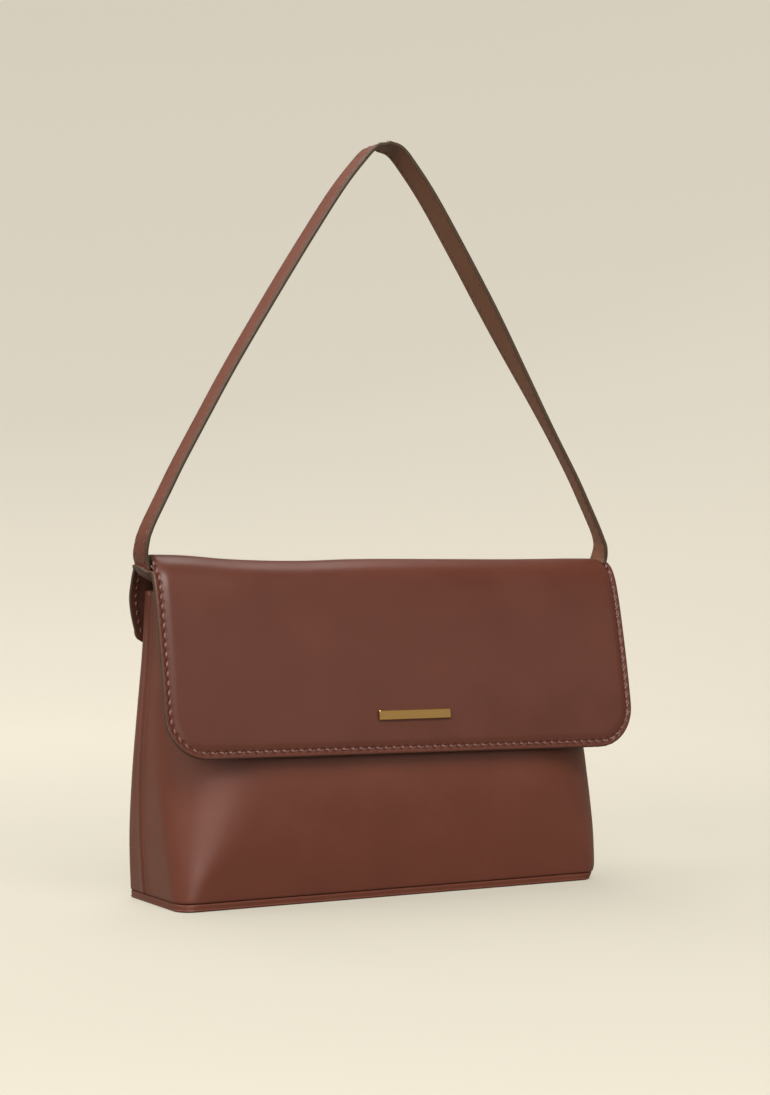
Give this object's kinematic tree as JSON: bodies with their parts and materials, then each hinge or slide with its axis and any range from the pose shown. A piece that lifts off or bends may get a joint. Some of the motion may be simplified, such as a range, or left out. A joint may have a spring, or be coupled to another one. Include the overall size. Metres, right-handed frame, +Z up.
{
  "type": "crossbody bag",
  "caption": "Slim leather shoulder bag: boxy body, front flap with a plain metal bar and magnetic snap, strap through slots in the flap's crown.",
  "frame": {"origin": "middle of the flat underside that the bag stands on", "axes": "+Z up, -Y towards the front, which the flap covers, and +X to the right as seen from the front"},
  "size_m": [0.2762, 0.0819, 0.3923],
  "materials": {
    "smooth_leather": "burgundy brown, smooth and softly glossy, with dark painted edges",
    "strap_leather": "burgundy brown, smooth, with dark painted edges",
    "lining_cloth": "plain woven, dark brown",
    "bonded_board": "bonded leather board, matt",
    "gold_metal": "polished pale gold plate",
    "snap_steel": "plain steel"
  },
  "bodies": {
    "bag_body": {"front_panel": "smooth_leather", "back_panel": "smooth_leather", "base_panel": "smooth_leather", "base_board": "bonded_board", "lining": "lining_cloth", "mouth_facing": "smooth_leather", "slip_pocket": "lining_cloth", "seam_tape_left": "lining_cloth", "seam_tape_right": "lining_cloth", "snap_socket": "gold_metal", "snap_magnet": "snap_steel", "snap_socket_washer": "snap_steel", "flap_crown": "smooth_leather", "flap_crown_lining": "smooth_leather", "strap_end_left": "strap_leather", "strap_end_right": "strap_leather"},
    "flap": {"flap_leather": "smooth_leather", "flap_stiffener": "bonded_board", "flap_lining": "smooth_leather", "metal_bar": "gold_metal", "metal_bar_washer": "snap_steel", "snap_stud": "gold_metal", "snap_stud_washer": "snap_steel"},
    "strap": {"strap_outer": "strap_leather", "strap_inner": "strap_leather"}
  },
  "joints": [
    {"name": "flap_hinge", "type": "hinge", "parent": "bag_body", "child": "flap", "pos_m": [0, -0.02342, 0.17149], "axis": [-1, 0, 0], "range_deg": [0, 135]},
    {"name": "strap_swing", "type": "hinge", "parent": "bag_body", "child": "strap", "pos_m": [0, -0.0125, 0.182], "axis": [-1, 0, 0], "range_deg": [-15, 85]}
  ]
}
